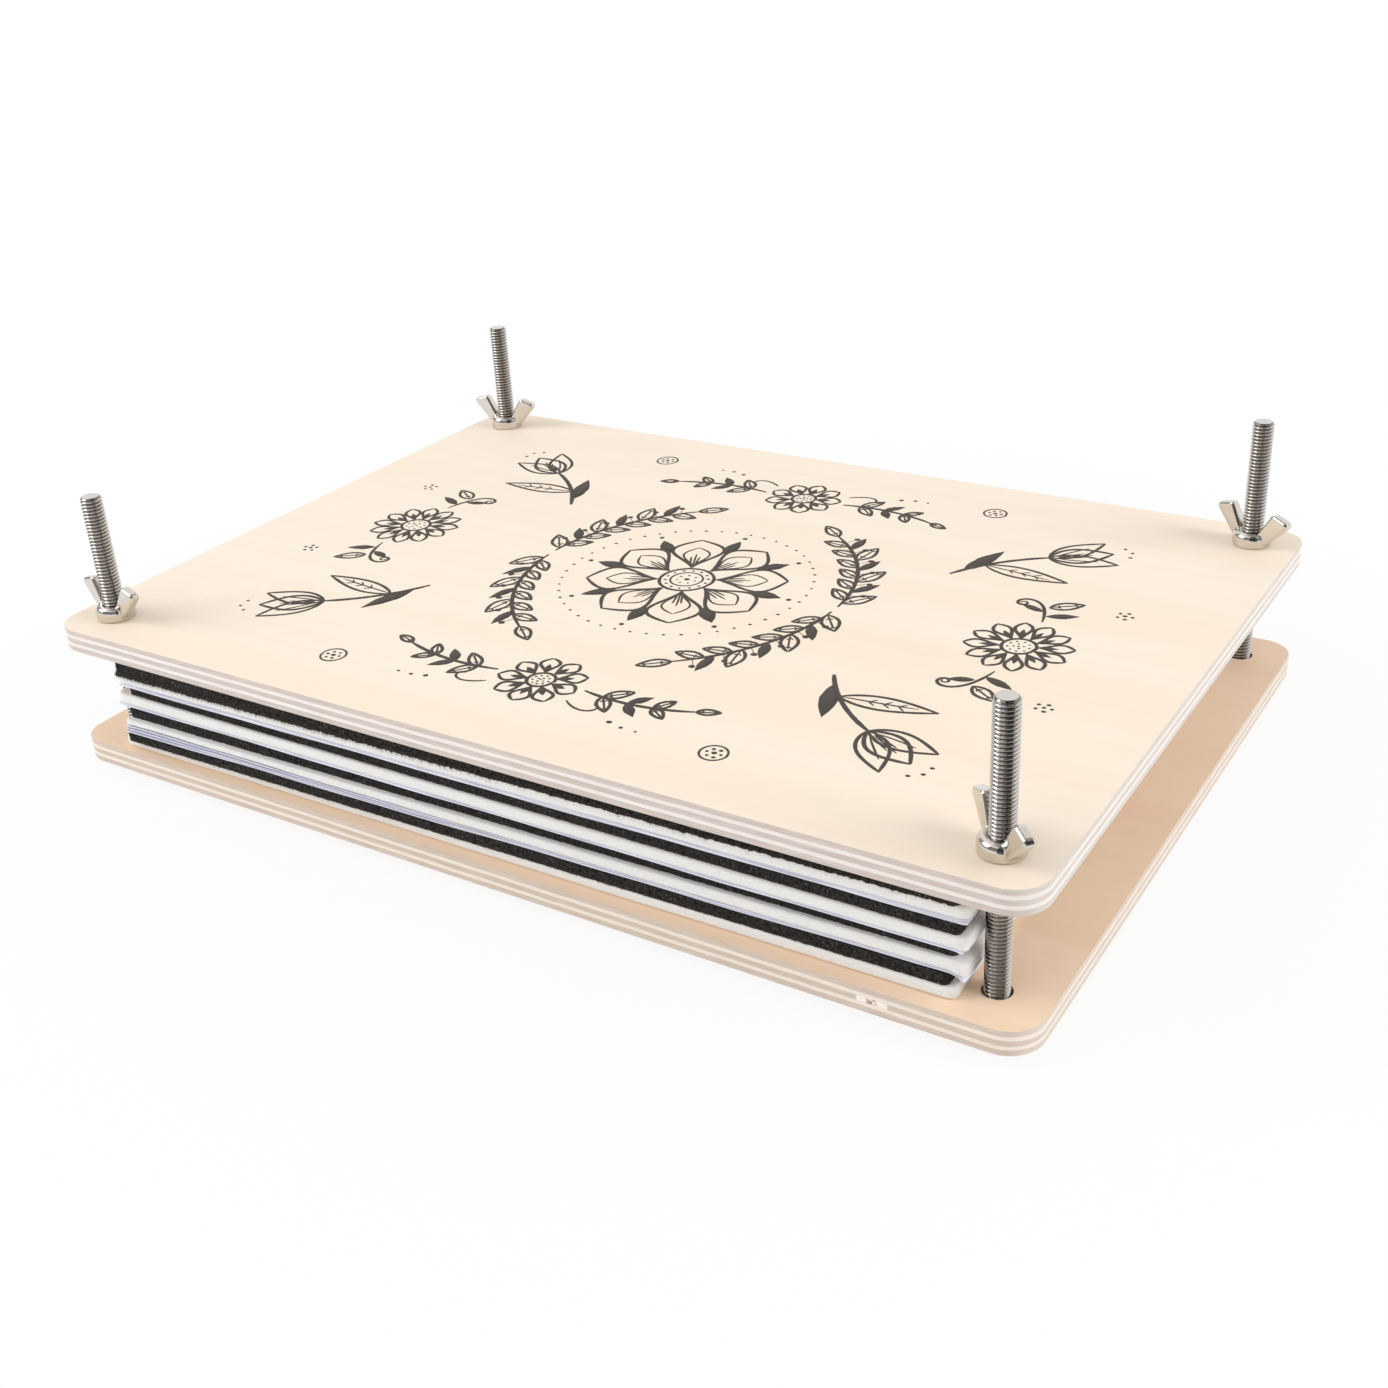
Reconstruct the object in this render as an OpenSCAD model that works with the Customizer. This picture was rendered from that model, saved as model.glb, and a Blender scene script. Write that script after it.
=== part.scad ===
// Flower press: two plywood boards, four carriage bolts with wing nuts, and a
// pressing stack of felt pads, sponge sheets and bundles of blotting paper.
// +X runs along the long side to the right, +Y to the back and +Z up, all in
// millimetres. The origin lies under the middle of the press, on the plane
// that the four bolt heads stand on.

/* [Boards] */
// Length of each board, left to right
board_l = 297; // [240:1:420]
// Depth of each board, front to back
board_w = 210; // [160:1:297]
// Thickness of each board
board_t = 6.5; // [6:0.5:12]
// Radius of the boards' rounded corners
corner_r = 9; // [4:0.5:12]
// Distance from a board's edges to a bolt's axis
bolt_inset = 13; // [13:0.5:20]
// Clearance between a bolt's shank and its hole, all round
hole_clearance = 0.5; // [0.3:0.1:0.8]

/* [Carriage bolts] */
// Thread diameter of the bolts
bolt_d = 6; // [5:0.5:8]
// Length of a bolt under its head
bolt_l = 79; // [70:1:110]
// Chamfer at a bolt's free end
bolt_chamfer = 0.5; // [0.3:0.1:0.8]
// Diameter of the domed head
head_d = 16; // [14:0.5:18]
// Height of the domed head
head_h = 3.4; // [3:0.1:4.5]
// Straight rim of the head, against the board
head_rim = 0.6; // [0.4:0.1:0.9]
// Diameter of the flat on the dome's crown
crown_d = 6; // [4:0.5:8]
// How much wider the square neck is than the thread
neck_extra = 0.3; // [0.1:0.1:0.6]
// Length of the square neck
neck_l = 4.1; // [3:0.1:5]
// Clearance between the neck and its socket, on each side
neck_clearance = 0.05; // [0.02:0.01:0.1]

/* [Wing nuts] */
// Wall of the round boss, from the thread outwards
boss_wall = 2.5; // [2:0.1:3.5]
// Height of the boss
boss_h = 4.3; // [3.8:0.1:6]
// Height of the boss's straight band
band_h = 2.2; // [1.5:0.1:3]
// Width of the flat ring at the top of the boss
lip_w = 0.8; // [0.5:0.1:1.2]
// Eased edge at the foot of the boss
boss_ease = 0.35; // [0.2:0.05:0.6]
// Countersink at both ends of the nut's bore
bore_ease = 0.25; // [0.1:0.05:0.4]
// Distance between the tips of the two wings
wing_span = 24.6; // [22:0.2:25]
// Height of the wings above the board
wing_h = 10.8; // [9:0.2:14]
// Height of the outer corner of a wing's end
wing_end_z = 7.3; // [6:0.1:8]
// Distance that the top corner of a wing's end stands in from its outer corner
wing_end_in = 3.3; // [2.5:0.1:4]
// Thickness of a wing at its end
wing_t = 2.9; // [1.6:0.1:3.2]
// Thickness of a wing where it leaves the boss
wing_root_t = 3.9; // [2.8:0.1:4.4]
// Radius of a wing's corners
wing_r = 1.3; // [0.6:0.1:1.4]
// Chamfer along a wing's edges
wing_chamfer = 0.5; // [0.2:0.05:0.5]
// Running clearance between the nut's bore and the bolt, all round
nut_clearance = 0.05; // [0.02:0.01:0.1]
// Height of a nut above the board that it bears on
nut_seat = 0.05; // [0.02:0.01:0.1]

/* [Pressing stack] */
// Thickness of a felt pad
felt_t = 3; // [2:0.2:5]
// Radius of a felt pad's corners
felt_corner_r = 2; // [1:0.5:8]
// Thickness of a sponge sheet
sponge_t = 3.6; // [2:0.2:6]
// Radius of a sponge sheet's corners
sponge_corner_r = 1.5; // [1:0.5:8]
// Thickness of one sheet of paper
sheet_t = 0.18; // [0.1:0.02:0.4]
// Air between two sheets of a bundle
sheet_gap = 0.04; // [0.02:0.01:0.06]
// Air between two layers of the stack, and between the stack and the boards
layer_gap = 0.05; // [0.02:0.01:0.1]
// Distance from an uncut felt pad's end to the bolts when it lies centred
felt_side = 2.5; // [2.2:0.1:6]
// Distance from an uncut sponge sheet's end to the bolts when it lies centred
sponge_side = 5.2; // [2.2:0.1:8]
// Distance from an uncut paper sheet's end to the bolts when it lies centred
paper_side = 2.8; // [2.6:0.1:6]
// How much shorter the layer that was cut shortest is than its kind
layer_trim = 3.4; // [0:0.1:3.6]
// Distance from the stack's front and back to the boards' edges
stack_setback = 5; // [5:0.5:30]
// Least room that a layer keeps beside a bolt, however it lies
side_room = 0.4; // [0.2:0.1:0.6]
// Distance that the layer furthest forward lies in front of the middle
layer_slip = 3.2; // [0:0.1:3.2]
// Angle in degrees that the most skewed layer lies turned
layer_turn = 1; // [0:0.1:1]
// How far the sheets of a bundle fan out to the front
sheet_fan = 0.6; // [0:0.1:0.8]

/* [Hidden] */

// Facets of round parts, of the small discs that a wing is drawn over, and of
// the arc in a turned profile
round_fn = 64;
disc_fn = 20;
arc_steps = 8;
// How far a cut runs past the faces that it opens
overrun = 1;

// The four corners in the order of the bolts' names, as signs of X and Y
corner_names = ["front_left", "front_right", "back_left", "back_right"];
corner_signs = [[-1, -1], [1, -1], [-1, 1], [1, 1]];
// Where each wing nut came to rest, in degrees from the long side
nut_turns = [-8, -41, 4, -25];

bolt_r = bolt_d / 2;
neck_w = bolt_d + neck_extra;
bore_r = bolt_r + nut_clearance;
boss_r = bolt_r + boss_wall;
lip_r = bore_r + lip_w;
hole_r = bolt_r + hole_clearance;
bolt_x = board_l / 2 - bolt_inset;
bolt_y = board_w / 2 - bolt_inset;

// The stack from the bottom up: what each layer is, how far it lies to the
// right of the middle as a share of its spare room, how far forward, how much
// turned and how much cut short as shares of the most
layer_kinds = ["felt", "sponge", "paper", "felt", "sponge", "paper", "felt", "sponge", "paper", "felt", "sponge"];
side_shares = [-1, -0.5, 0.6, 0.6, 0.05, 0.7, 1, 0.55, 1, 1, 0.2];
slip_shares = [0.4, 0.55, 0.55, 0.85, 0.3, 0.8, 0.85, 0.5, 0.9, 1, 0.85];
turn_shares = [0.4, 0.9, 1, 1, 0.9, 0.35, 0.35, 0.3, 0.7, 0.7, 0.9];
trim_shares = [0, 0, 0.75, 0.85, 0.15, 0, 0, 0, 1, 1, 0];
layer_count = len(layer_kinds);
// Sheets in each bundle from the bottom up, and how each sheet lies in its
// bundle as a share of the fan
bundle_sheets = [5, 2, 4];
fan_shares = [0.2, -0.5, 0.7, -0.1, 1];

base_z = head_h;
socket_l = neck_l + neck_clearance;
stack_z = base_z + board_t;
top_z = stack_z + height_below(layer_count);
nut_z = top_z + board_t + nut_seat;

// The clear width between the bolts, that every layer has to pass through
bolt_gap_l = 2 * bolt_x - bolt_d;
stack_w = board_w - 2 * stack_setback;

// Which felt pad, sponge sheet or bundle the layer i is, counted from zero
function rank(i) = len([for (k = [0 : i]) if (layer_kinds[k] == layer_kinds[i]) k]) - 1;
function bundle_t(sheets) = sheets * sheet_t + (sheets - 1) * sheet_gap;
function layer_t(i) =
    layer_kinds[i] == "felt" ? felt_t :
    layer_kinds[i] == "sponge" ? sponge_t : bundle_t(bundle_sheets[rank(i)]);
function side_gap(i) =
    layer_kinds[i] == "felt" ? felt_side :
    layer_kinds[i] == "sponge" ? sponge_side : paper_side;
// Height of the stack under layer i, with the air under it
function height_below(i) = i == 0 ? layer_gap : height_below(i - 1) + layer_t(i - 1) + layer_gap;
function layer_l(i) = bolt_gap_l - 2 * side_gap(i) - trim_shares[i] * layer_trim;
function layer_turned(i) = turn_shares[i] * layer_turn;
// What a layer's turn takes of the room beside it
function turn_reach(i) = stack_w / 2 * sin(layer_turned(i));
function layer_room(i) = max(0, (bolt_gap_l - layer_l(i)) / 2 - side_room - fan_reach(i) - turn_reach(i));
function layer_x(i) = side_shares[i] * layer_room(i);
function layer_y(i) = -slip_shares[i] * layer_slip;
// Paper sheets also lie a little to the side of each other
function fan_reach(i) = layer_kinds[i] == "paper" ? sheet_fan / 2 : 0;

// The layer of the given kind and rank
function layer_of(kind, number) = [for (k = [0 : layer_count - 1]) if (layer_kinds[k] == kind && rank(k) == number) k][0];

module at_corner(c) {
    translate([corner_signs[c][0] * bolt_x, corner_signs[c][1] * bolt_y, 0]) children();
}

// A flat piece with rounded corners, standing on z = 0
module rounded_plate(length, width, thickness, radius) {
    linear_extrude(height = thickness) {
        square([length - 2 * radius, width], center = true);
        square([length, width - 2 * radius], center = true);
        for (s = corner_signs)
            translate([s[0] * (length / 2 - radius), s[1] * (width / 2 - radius)])
                circle(r = radius, $fn = round_fn);
    }
}

module board_blank() {
    rounded_plate(board_l, board_w, board_t, corner_r);
}

// The four round holes of a board, from the given height up
module bolt_holes(from_z) {
    for (c = [0 : 3])
        at_corner(c)
            translate([0, 0, from_z])
                cylinder(r = hole_r, h = board_t - from_z + overrun, $fn = round_fn);
}

// Square sockets that keep the bolts from turning
module neck_sockets() {
    socket_w = neck_w + 2 * neck_clearance;
    for (c = [0 : 3])
        at_corner(c)
            translate([-socket_w / 2, -socket_w / 2, -overrun])
                cube([socket_w, socket_w, socket_l + overrun]);
}

module base_board() {
    color([0.96, 0.87, 0.75])
        translate([0, 0, base_z])
            difference() {
                board_blank();
                bolt_holes(socket_l);
                neck_sockets();
            }
}

module top_board() {
    color([0.97, 0.90, 0.80])
        translate([0, 0, top_z])
            difference() {
                board_blank();
                bolt_holes(-overrun);
            }
}

// The dome is the part of a sphere between the crown's flat and the rim
function dome_profile() =
    let (
        cap_h = head_h - head_rim,
        crown_r = crown_d / 2,
        head_r = head_d / 2,
        centre_z = (head_r * head_r + cap_h * cap_h - crown_r * crown_r) / (2 * cap_h),
        sphere_r = sqrt(crown_r * crown_r + centre_z * centre_z)
    )
    [for (k = [0 : arc_steps])
        let (r = crown_r + (head_r - crown_r) * k / arc_steps)
        [r, centre_z - sqrt(sphere_r * sphere_r - r * r)]];

// Half outline of the head and the shank, from the axis outwards and up
function bolt_profile() = concat(
    [[0, 0]],
    dome_profile(),
    [
        [head_d / 2, head_h],
        [bolt_r, head_h],
        [bolt_r, head_h + bolt_l - bolt_chamfer],
        [bolt_r - bolt_chamfer, head_h + bolt_l],
        [0, head_h + bolt_l]
    ]
);

module carriage_bolt(c) {
    color([0.72, 0.71, 0.69])
        at_corner(c) {
            rotate_extrude($fn = round_fn)
                polygon(bolt_profile());
            translate([-neck_w / 2, -neck_w / 2, head_h])
                cube([neck_w, neck_w, neck_l]);
        }
}

// The boss swells from its band to the lip round the bolt in a quarter ellipse
function boss_profile() = concat(
    [[0, 0], [boss_r - boss_ease, 0], [boss_r, boss_ease]],
    [for (k = [0 : arc_steps])
        let (a = 90 * k / arc_steps)
        [lip_r + (boss_r - lip_r) * cos(a), band_h + (boss_h - band_h) * sin(a)]],
    [[0, boss_h]]
);

// One rounded corner of a wing, a chamfered disc lying across the wing
module wing_corner(x, z, thickness) {
    translate([x, 0, z])
        rotate([90, 0, 0]) {
            cylinder(r = wing_r, h = thickness - 2 * wing_chamfer, center = true, $fn = disc_fn);
            cylinder(r = wing_r - wing_chamfer, h = thickness, center = true, $fn = disc_fn);
        }
}

// A wing rises outwards from the boss, and thins and widens towards its end
module wing() {
    hull() {
        wing_corner(lip_r, boss_h - wing_r, wing_root_t);
        wing_corner(boss_r - wing_r, boss_ease + wing_r, wing_root_t);
        wing_corner(wing_span / 2 - wing_r, wing_end_z + wing_r, wing_t);
        wing_corner(wing_span / 2 - wing_end_in - wing_r, wing_h - wing_r, wing_t);
    }
}

module nut_bore() {
    translate([0, 0, -overrun])
        cylinder(r = bore_r, h = boss_h + 2 * overrun, $fn = round_fn);
    // The cut above the bore frees the space round the bolt between the wings
    translate([0, 0, boss_h])
        cylinder(r = bore_r + bore_ease, h = wing_h, $fn = round_fn);
    rotate_extrude($fn = round_fn)
        polygon([
            [0, -overrun], [bore_r + bore_ease + overrun, -overrun],
            [bore_r, bore_ease], [0, bore_ease]
        ]);
}

module wing_nut(c) {
    color([0.78, 0.77, 0.75])
        at_corner(c)
            translate([0, 0, nut_z])
                rotate([0, 0, nut_turns[c]])
                    difference() {
                        union() {
                            rotate_extrude($fn = round_fn)
                                polygon(boss_profile());
                            wing();
                            mirror([1, 0, 0])
                                wing();
                        }
                        nut_bore();
                    }
}

// Moves a piece to where layer i of the stack lies
module in_layer(i) {
    translate([layer_x(i), layer_y(i), stack_z + height_below(i)])
        rotate([0, 0, layer_turned(i)])
            children();
}

module felt_pad(number) {
    i = layer_of("felt", number);
    color([0.93, 0.92, 0.89])
        in_layer(i)
            rounded_plate(layer_l(i), stack_w, felt_t, felt_corner_r);
}

module sponge_sheet(number) {
    i = layer_of("sponge", number);
    color([0.16, 0.16, 0.16])
        in_layer(i)
            rounded_plate(layer_l(i), stack_w, sponge_t, sponge_corner_r);
}

// Separate sheets with square corners, that fan out a little
module paper_bundle(number) {
    i = layer_of("paper", number);
    color([0.85, 0.84, 0.90])
        in_layer(i)
            for (s = [0 : bundle_sheets[number] - 1])
                translate([fan_shares[s] * sheet_fan / 2, -fan_shares[s] * sheet_fan, s * (sheet_t + sheet_gap)])
                    translate([-layer_l(i) / 2, -stack_w / 2, 0])
                        cube([layer_l(i), stack_w, sheet_t]);
}

base_board();
top_board();
for (c = [0 : 3]) {
    carriage_bolt(c);
    wing_nut(c);
}
for (n = [0 : 3]) {
    felt_pad(n);
    sponge_sheet(n);
}
for (n = [0 : 2])
    paper_bundle(n);
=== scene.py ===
"""The looks of a flower press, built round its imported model."""
import cmath
import math
import random

import bmesh
import bpy
import numpy as np
from mathutils import Matrix, Vector
from mathutils.geometry import convex_hull_2d


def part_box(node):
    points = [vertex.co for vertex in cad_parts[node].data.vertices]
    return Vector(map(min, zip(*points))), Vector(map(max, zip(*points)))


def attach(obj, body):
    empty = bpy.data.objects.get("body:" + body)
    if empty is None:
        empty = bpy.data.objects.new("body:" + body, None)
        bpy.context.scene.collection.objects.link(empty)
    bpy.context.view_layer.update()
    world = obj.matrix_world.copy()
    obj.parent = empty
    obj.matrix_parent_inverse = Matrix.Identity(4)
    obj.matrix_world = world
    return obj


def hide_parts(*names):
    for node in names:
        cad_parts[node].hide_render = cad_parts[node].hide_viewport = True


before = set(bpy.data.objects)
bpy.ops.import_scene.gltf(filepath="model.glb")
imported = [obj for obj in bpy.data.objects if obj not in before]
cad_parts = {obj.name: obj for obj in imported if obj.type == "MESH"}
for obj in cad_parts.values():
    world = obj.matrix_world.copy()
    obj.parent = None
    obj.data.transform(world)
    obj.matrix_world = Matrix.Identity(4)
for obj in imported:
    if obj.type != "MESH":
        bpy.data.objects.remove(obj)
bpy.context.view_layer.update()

MM = 0.001
CORNERS = ("front_left", "front_right", "back_left", "back_right")
FELTS = ("felt_pad_1", "felt_pad_2", "felt_pad_3", "felt_pad_4")
SPONGES = ("sponge_sheet_1", "sponge_sheet_2", "sponge_sheet_3", "sponge_sheet_4")
BUNDLES = ("paper_bundle_1", "paper_bundle_2", "paper_bundle_3")


# Numbers, nodes and trees

class Value:
    """A number, vector or colour that a node gives out. Arithmetic on it adds Math nodes."""

    def __init__(self, tree, socket):
        self.tree = tree
        self.socket = socket

    def __add__(self, other):
        return self.tree.math("ADD", self, other)

    def __sub__(self, other):
        return self.tree.math("SUBTRACT", self, other)

    def __rsub__(self, other):
        return self.tree.math("SUBTRACT", other, self)

    def __mul__(self, other):
        return self.tree.math("MULTIPLY", self, other)

    def __truediv__(self, other):
        return self.tree.math("DIVIDE", self, other)

    def __abs__(self):
        return self.tree.math("ABSOLUTE", self)

    __radd__ = __add__
    __rmul__ = __mul__


class Tree:
    """A node tree, with one method that adds any node."""

    def __init__(self, nodes):
        self.nodes = nodes
        nodes.nodes.clear()

    def node(self, kind, settings, inputs, output=0):
        """Adds a node, sets its settings and then its sockets, and gives out one of its values."""
        made = self.nodes.nodes.new(kind)
        for name, setting in settings.items():
            setattr(made, name, setting)
        for key, value in inputs.items():
            if isinstance(value, Value):
                self.nodes.links.new(value.socket, made.inputs[key])
            else:
                made.inputs[key].default_value = value
        if not made.outputs:
            return None
        return Value(self, made.outputs[output])

    def other(self, value, output):
        """Another output of the node that gave this value."""
        return Value(self, value.socket.node.outputs[output])

    def math(self, operation, *values):
        return self.node("ShaderNodeMath", {"operation": operation}, dict(enumerate(values)))

    def least(self, a, b):
        return self.math("MINIMUM", a, b)

    def most(self, a, b):
        return self.math("MAXIMUM", a, b)

    def part(self, value):
        """What is left of a number past its whole part."""
        return self.math("FRACT", value)

    def step(self, value, low, high):
        """A smooth mask that rises from 0 at low to 1 at high."""
        return self.node("ShaderNodeMapRange", {"interpolation_type": "SMOOTHSTEP"},
                         {"Value": value, "From Min": low, "From Max": high})

    def ramp(self, value, low, high):
        """A straight mask that rises from 0 at low to 1 at high."""
        return self.node("ShaderNodeMapRange", {}, {"Value": value, "From Min": low, "From Max": high})

    def band(self, value, low, high, soft):
        """1 between two values and 0 outside them."""
        return self.step(value, low - soft, low + soft) * (1 - self.step(value, high - soft, high + soft))

    def axes(self, vector):
        x = self.node("ShaderNodeSeparateXYZ", {}, {0: vector})
        return x, self.other(x, 1), self.other(x, 2)

    def vector(self, x, y, z):
        return self.node("ShaderNodeCombineXYZ", {}, {0: x, 1: y, 2: z})

    def vectors(self, operation, first, second, output=0):
        return self.node("ShaderNodeVectorMath", {"operation": operation}, {0: first, 1: second}, output)

    def stretched(self, vector, x, y, z):
        return self.vectors("MULTIPLY", vector, (x, y, z))

    def noise(self, vector, scale, detail=2.0, roughness=0.5):
        """Smooth noise round 0.5."""
        inputs = {"Vector": vector, "Scale": scale, "Detail": detail, "Roughness": roughness}
        return self.node("ShaderNodeTexNoise", {}, inputs)

    def cells(self, vector, scale):
        """Distance to the nearest of scattered points, 0 at a point."""
        return self.node("ShaderNodeTexVoronoi", {}, {"Vector": vector, "Scale": scale})


def srgb(red, green, blue):
    """A colour seen on a screen, 0 to 255, as the light that it stands for."""
    light = []
    for level in (red, green, blue):
        share = level / 255
        light.append(share / 12.92 if share <= 0.04045 else ((share + 0.055) / 1.055) ** 2.4)
    return (*light, 1.0)


class Finish(Tree):
    """A procedural material. Keywords are numbers on the shader's own sockets."""

    def __init__(self, name, **constants):
        self.material = bpy.data.materials.new(name)
        self.material.use_nodes = True
        super().__init__(self.material.node_tree)
        self.place = self.node("ShaderNodeTexCoord", {}, {}, "Object")
        numbers = {key.replace("_", " "): value for key, value in constants.items()}
        shine = self.node("ShaderNodeBsdfPrincipled", {}, numbers)
        self.shader = shine.socket.node
        self.output = self.nodes.nodes.new("ShaderNodeOutputMaterial")
        self.cover(shine)

    def cover(self, surface):
        """Makes a shader the one that shows."""
        self.nodes.links.new(surface.socket, self.output.inputs["Surface"])

    def set(self, **maps):
        """Feeds what changes over the surface into the shader."""
        for key, value in maps.items():
            self.nodes.links.new(value.socket, self.shader.inputs[key.replace("_", " ")])

    def mix(self, share, first, second):
        """A colour between two others."""
        return self.node("ShaderNodeMix", {"data_type": "RGBA"}, {0: share, 6: first, 7: second}, 2)

    def streaks(self, x, y, z, detail=2.0, roughness=0.5):
        """Smooth noise round 0.5 with a scale of its own along each axis of the press."""
        return self.noise(self.stretched(self.place, x, y, z), 1.0, detail, roughness)

    def bump(self, height, distance, strength=1.0):
        inputs = {"Height": height, "Distance": distance, "Strength": strength}
        self.set(Normal=self.node("ShaderNodeBump", {}, inputs))


class Pattern(Tree):
    """A Geometry Nodes tree with named inputs for its sizes."""

    def __init__(self, name, sizes):
        group = bpy.data.node_groups.new(name, "GeometryNodeTree")
        super().__init__(group)
        self.sizes = sizes
        group.interface.new_socket("Geometry", in_out="INPUT", socket_type="NodeSocketGeometry")
        group.interface.new_socket("Geometry", in_out="OUTPUT", socket_type="NodeSocketGeometry")
        self.keys = {}
        for size in sizes:
            self.keys[size] = group.interface.new_socket(
                size, in_out="INPUT", socket_type="NodeSocketFloat")
        self.geometry = self.node("NodeGroupInput", {}, {})

    def size(self, name):
        return self.other(self.geometry, name)

    def place(self):
        return self.node("GeometryNodeInputPosition", {}, {})

    def join(self, *pieces):
        joined = self.node("GeometryNodeJoinGeometry", {}, {})
        for each in reversed(pieces):
            self.nodes.links.new(each.socket, joined.socket.node.inputs[0])
        return joined

    def finish(self, geometry, finish):
        real = self.node("GeometryNodeRealizeInstances", {}, {"Geometry": geometry})
        painted = self.node("GeometryNodeSetMaterial", {}, {"Geometry": real, "Material": finish.material})
        self.node("NodeGroupOutput", {}, {"Geometry": painted})

    def make(self, name, data, sizes=None):
        """Runs the tree on a mesh or curve, and gives the result as a plain mesh object."""
        source = bpy.data.objects.new("source", data)
        bpy.context.scene.collection.objects.link(source)
        modifier = source.modifiers.new("pattern", "NODES")
        modifier.node_group = self.nodes
        for size, value in {**self.sizes, **(sizes or {})}.items():
            modifier[self.keys[size].identifier] = value
        return piece(name, baked(source))


def opened(mesh):
    """A mesh opened for editing."""
    bm = bmesh.new()
    bm.from_mesh(mesh)
    return bm


def closed(bm, mesh):
    """Puts what was edited back into a mesh."""
    bm.to_mesh(mesh)
    bm.free()
    return mesh


def new_mesh(bm, name):
    """Puts what was built into a mesh of its own."""
    return closed(bm, bpy.data.meshes.new(name))


def baked(source):
    """The plain mesh that an object's modifiers make. The object itself goes."""
    evaluated = source.evaluated_get(bpy.context.evaluated_depsgraph_get())
    mesh = bpy.data.meshes.new_from_object(evaluated)
    bpy.data.objects.remove(source)
    return mesh


def skin(bm, rings):
    """Joins rings of points by faces, from the lowest ring up. A ring of one point is a tip."""
    sides = max(len(ring) for ring in rings)
    for low, high in zip(rings, rings[1:]):
        for k in range(sides):
            n = (k + 1) % sides
            if len(low) == 1:
                bm.faces.new((low[0], high[n], high[k]))
            elif len(high) == 1:
                bm.faces.new((low[k], low[n], high[0]))
            else:
                bm.faces.new((low[k], low[n], high[n], high[k]))


def piece(name, mesh, finish=None):
    """A new object of the press, at the origin."""
    made = bpy.data.objects.new(name, mesh)
    mesh.name = name
    bpy.context.scene.collection.objects.link(made)
    if finish:
        mesh.materials.clear()
        mesh.materials.append(finish.material)
    return made


def settle(made, body, node):
    """Says which body a piece rides on, and hides the CAD node that it stands for."""
    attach(made, body)
    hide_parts(node)


def shade(mesh, degrees):
    """Smooth shading with crisp edges where faces meet at more than this angle."""
    bm = opened(mesh)
    for face in bm.faces:
        face.smooth = True
    for edge in bm.edges:
        edge.smooth = edge.is_manifold and edge.calc_face_angle(0.0) < math.radians(degrees)
    closed(bm, mesh)


def merged_copy(node):
    """A CAD node's mesh with its loose triangles joined up."""
    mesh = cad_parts[node].data.copy()
    bm = opened(mesh)
    bmesh.ops.remove_doubles(bm, verts=bm.verts, dist=0.001 * MM)
    return closed(bm, mesh)


def held(value):
    """A share, kept between 0 and 1."""
    return min(max(value, 0.0), 1.0)


# Camera, lamps and floor

# The photograph's camera, fitted to the boards' corners and the bolts' ends
CAMERA_PLACE = Vector((247.47, -374.26, 240.68)) * MM
CAMERA_AZIMUTH = 33.433
CAMERA_ELEVATION = 26.825
CAMERA_ROLL = -3.391
LENS = 43.946
SENSOR = 36.0
SHIFT = (0.00034, -0.01153)
# What polished metal sees: azimuth, elevation, and the angles at which a dark place begins to fade and ends
DARK_CEILING = (85, 78, 22, 40)
GREY_WALL = (-80, 10, 22, 36)
# How dark these two and the front wall are
CEILING_WEIGHT = 0.65
GREY_WALL_WEIGHT = 0.6
FRONT_WALL_WEIGHT = 0.76
# The azimuth of the dark front wall, and the sines between which its foot, top and sides fade
FRONT_WALL = 15
WALL_FOOT = (0.03, 0.12)
WALL_TOP = (0.6, 0.78)
WALL_SIDE = (0.1, 0.4)
# The two ends and the top of the dark card behind the camera, how softly it ends and how dark it is
CARD_LEFT = Vector((122, -350)) * MM
CARD_RIGHT = Vector((330, -75)) * MM
CARD_TOP = 900 * MM
CARD_FADE = 26 * MM
CARD_FULL_SHARE = 0.7
CARD_WEIGHT = 0.85


def make_camera():
    data = bpy.data.cameras.new("camera")
    data.lens = LENS
    data.sensor_width = SENSOR
    data.shift_x, data.shift_y = SHIFT
    azimuth = math.radians(CAMERA_AZIMUTH)
    elevation = math.radians(CAMERA_ELEVATION)
    ahead = Vector((-math.sin(azimuth) * math.cos(elevation), math.cos(azimuth) * math.cos(elevation),
                    -math.sin(elevation)))
    level = Vector((math.cos(azimuth), math.sin(azimuth), 0))
    turn = Matrix.Rotation(math.radians(-CAMERA_ROLL), 3, ahead)
    right = turn @ level
    up = right.cross(ahead)
    camera = bpy.data.objects.new("camera", data)
    bpy.context.scene.collection.objects.link(camera)
    facing = Matrix((right, up, -ahead)).transposed()
    camera.matrix_world = Matrix.Translation(CAMERA_PLACE) @ facing.to_4x4()
    bpy.context.scene.camera = camera


def shown_to_eye(tree):
    """1 for the rays that see the background itself, in a picture, a mirror or glass."""
    rays = tree.node("ShaderNodeLightPath", {}, {}, "Is Camera Ray")
    mirrored = tree.most(tree.other(rays, "Is Glossy Ray"), tree.other(rays, "Is Transmission Ray"))
    return tree.most(rays, mirrored)


def towards(azimuth, elevation):
    """The direction from the press to a place in the studio. Azimuth 0 is in front, 90 at its right."""
    side = math.radians(azimuth)
    rise = math.radians(elevation)
    return Vector((math.sin(side) * math.cos(rise), -math.cos(side) * math.cos(rise), math.sin(rise)))


def nearness(tree, azimuth, elevation):
    """The cosine of the angle between a ray and a direction."""
    ahead = tree.node("ShaderNodeTexCoord", {}, {}, "Generated")
    return tree.vectors("DOT_PRODUCT", ahead, towards(azimuth, elevation), "Value")


def zone(tree, azimuth, elevation, inner, outer):
    """1 where a ray leaves within inner degrees of a direction, and 0 past outer degrees."""
    near = nearness(tree, azimuth, elevation)
    return tree.step(near, math.cos(math.radians(outer)), math.cos(math.radians(inner)))


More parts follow.
